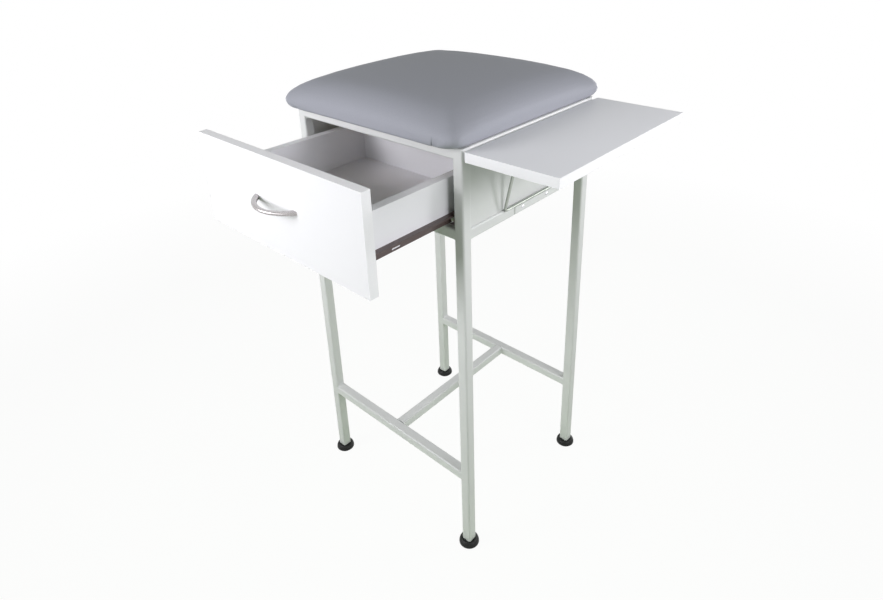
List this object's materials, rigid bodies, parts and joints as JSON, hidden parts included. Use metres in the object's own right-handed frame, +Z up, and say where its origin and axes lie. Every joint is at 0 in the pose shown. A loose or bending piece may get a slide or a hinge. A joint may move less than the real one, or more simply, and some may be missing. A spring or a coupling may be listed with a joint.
{
  "type": "phlebotomy table",
  "caption": "Padded-top clinic table on a welded square-tube frame, with a drawer on roller slides and a fold-down side leaf on a wire stay.",
  "frame": {"origin": "on the floor, under the middle of the table's outline in plan with the drawer open and the leaf up", "axes": "+X from the plain side towards the leaf, -Y the way the drawer opens, +Z up"},
  "size_m": [0.5954, 0.628, 0.91],
  "materials": {
    "frame_paint": "powder coat, satin",
    "foot_plastic": "moulded, satin",
    "cushion_vinyl": "vinyl-coated, satin",
    "plywood": "raw",
    "zinc_steel": "zinc plated",
    "slide_enamel": "epoxy coat, satin",
    "roller_nylon": "moulded",
    "front_laminate": "white melamine, satin",
    "edge_banding": "satin",
    "drawer_board": "white melamine, satin",
    "handle_nickel": "satin nickel",
    "leaf_laminate": "pale grey laminate, satin"
  },
  "bodies": {
    "frame": {"leg_front_left": "frame_paint", "leg_front_right": "frame_paint", "leg_back_left": "frame_paint", "leg_back_right": "frame_paint", "top_rail_front": "frame_paint", "top_rail_back": "frame_paint", "top_rail_left": "frame_paint", "top_rail_right": "frame_paint", "low_rail_front": "frame_paint", "low_rail_back": "frame_paint", "low_rail_left": "frame_paint", "low_rail_right": "frame_paint", "stretcher_front": "frame_paint", "stretcher_back": "frame_paint", "stretcher_cross": "frame_paint", "weld_fillets": "frame_paint", "foot_front_left": "foot_plastic", "foot_front_right": "foot_plastic", "foot_back_left": "foot_plastic", "foot_back_right": "foot_plastic", "side_panel_left": "frame_paint", "side_panel_right": "frame_paint", "back_panel": "frame_paint", "corner_tabs": "frame_paint", "cushion_base": "plywood", "cushion": "cushion_vinyl", "cushion_screws": "zinc_steel", "slide_bar_left": "frame_paint", "slide_bar_right": "frame_paint", "case_slide_left": "slide_enamel", "case_slide_right": "slide_enamel", "case_slide_screws": "zinc_steel", "hinge_fixed_plates": "zinc_steel", "hinge_pins": "zinc_steel", "hinge_rail_screws": "zinc_steel", "rub_strip": "frame_paint", "rub_strip_screws": "zinc_steel"},
    "drawer": {"drawer_front": "front_laminate", "drawer_front_edging": "edge_banding", "drawer_side_left": "drawer_board", "drawer_side_right": "drawer_board", "drawer_back": "drawer_board", "drawer_bottom": "drawer_board", "drawer_rail_left": "slide_enamel", "drawer_rail_right": "slide_enamel", "drawer_rail_screws": "zinc_steel", "handle": "handle_nickel", "handle_screws": "zinc_steel"},
    "leaf": {"leaf_board": "leaf_laminate", "leaf_edging": "edge_banding", "hinge_moving_plates": "zinc_steel", "hinge_leaf_screws": "zinc_steel", "stay_saddles": "zinc_steel", "saddle_screws": "zinc_steel"},
    "stay": {"stay": "zinc_steel"},
    "case_roller_left": {"case_roller_left": "roller_nylon"},
    "case_roller_right": {"case_roller_right": "roller_nylon"},
    "drawer_roller_left": {"drawer_roller_left": "roller_nylon"},
    "drawer_roller_right": {"drawer_roller_right": "roller_nylon"}
  },
  "joints": [
    {"name": "drawer_slide", "type": "slide", "parent": "frame", "child": "drawer", "axis": [0, -1, 0], "range_m": [-0.181, 0.034]},
    {"name": "leaf_hinge", "type": "hinge", "parent": "frame", "child": "leaf", "pos_m": [0.13135, 0.105, 0.8218], "axis": [0, 1, 0], "range_deg": [0, 90]},
    {"name": "stay_pivot", "type": "hinge", "parent": "leaf", "child": "stay", "pos_m": [0.15635, 0.105, 0.8235], "axis": [0, 1, 0], "range_deg": [-103.3, 0]},
    {"name": "case_roller_left_spin", "type": "hinge", "parent": "frame", "child": "case_roller_left", "pos_m": [-0.2555, -0.075, 0.72175], "axis": [1, 0, 0], "range_deg": [-1440, 280]},
    {"name": "case_roller_right_spin", "type": "hinge", "parent": "frame", "child": "case_roller_right", "pos_m": [0.1002, -0.075, 0.72175], "axis": [1, 0, 0], "range_deg": [-1440, 280]},
    {"name": "drawer_roller_left_spin", "type": "hinge", "parent": "drawer", "child": "drawer_roller_left", "pos_m": [-0.2555, 0.025, 0.72175], "axis": [1, 0, 0], "range_deg": [-1440, 280]},
    {"name": "drawer_roller_right_spin", "type": "hinge", "parent": "drawer", "child": "drawer_roller_right", "pos_m": [0.1002, 0.025, 0.72175], "axis": [1, 0, 0], "range_deg": [-1440, 280]}
  ],
  "couplings": [
    {"joint": "stay_pivot", "follows": "leaf_hinge", "ratio": -1.1468},
    {"joint": "case_roller_left_spin", "follows": "drawer_slide", "rad_per_m": 137.93},
    {"joint": "case_roller_right_spin", "follows": "drawer_slide", "rad_per_m": 137.93},
    {"joint": "drawer_roller_left_spin", "follows": "drawer_slide", "rad_per_m": 137.93},
    {"joint": "drawer_roller_right_spin", "follows": "drawer_slide", "rad_per_m": 137.93}
  ]
}
